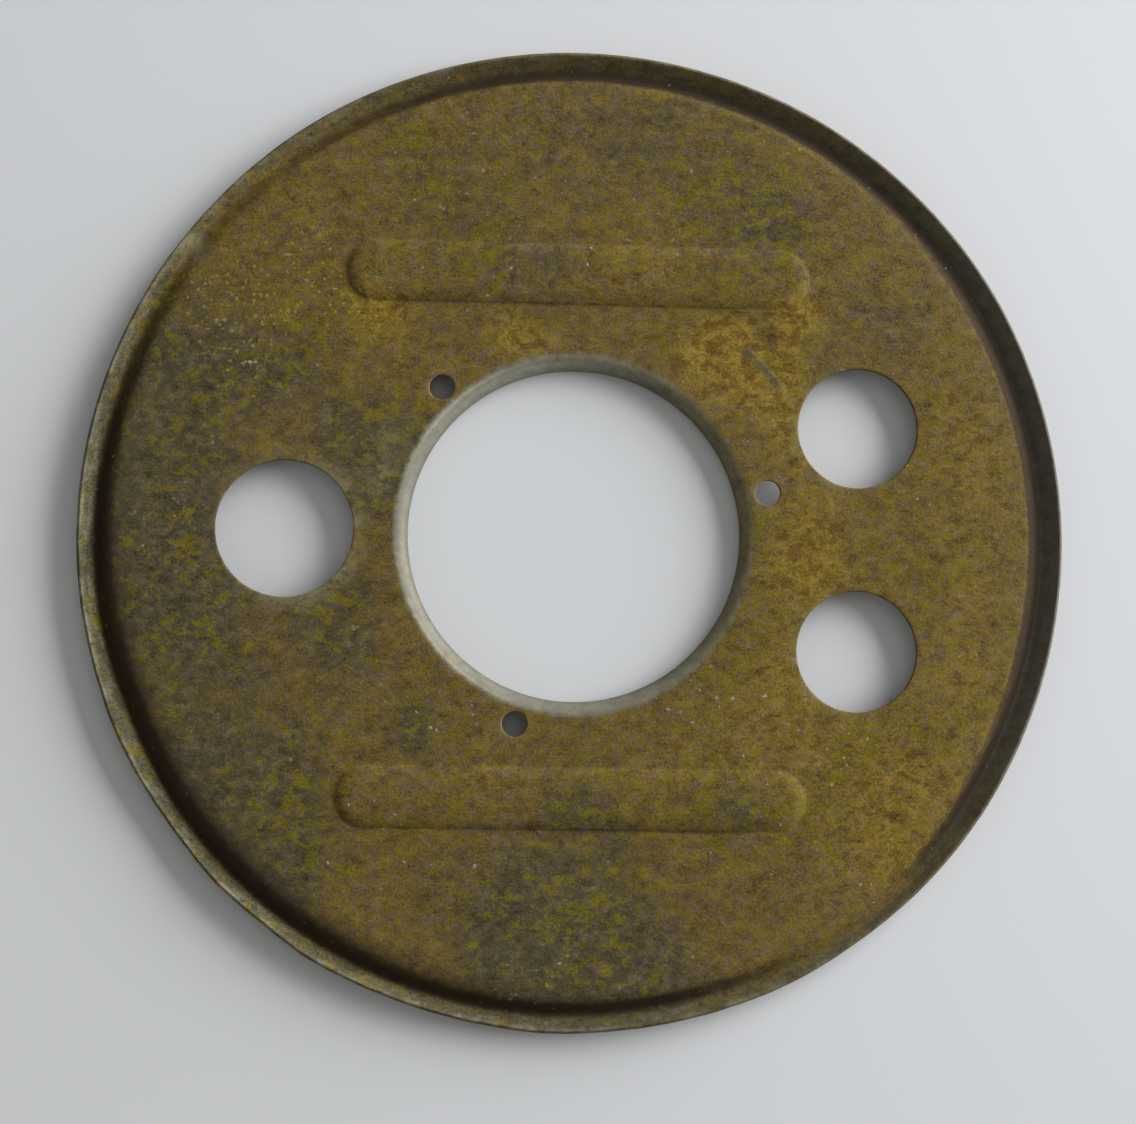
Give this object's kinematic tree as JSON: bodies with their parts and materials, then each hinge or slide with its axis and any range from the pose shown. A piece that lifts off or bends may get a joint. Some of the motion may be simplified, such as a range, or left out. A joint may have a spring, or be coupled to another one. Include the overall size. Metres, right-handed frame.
{
  "type": "pressed cover disc",
  "caption": "Thin pressed steel disc with a grooved, upturned rim, a centre hole with a turned-down collar, two long ribs, and screw and access holes.",
  "frame": {"origin": "centre of the collar's foot, at the lowest point of the disc, on its axis", "axes": "+Z along the disc's axis, towards the side the ribs stand out of; the single large hole is on -X and the pair of large holes is on +X"},
  "size_m": [0.222, 0.222, 0.0062],
  "materials": {
    "pressed_steel": "matt, rusted all over, worn bare round the collar"
  },
  "bodies": {
    "root": {"cover_disc": "pressed_steel"}
  },
  "joints": []
}
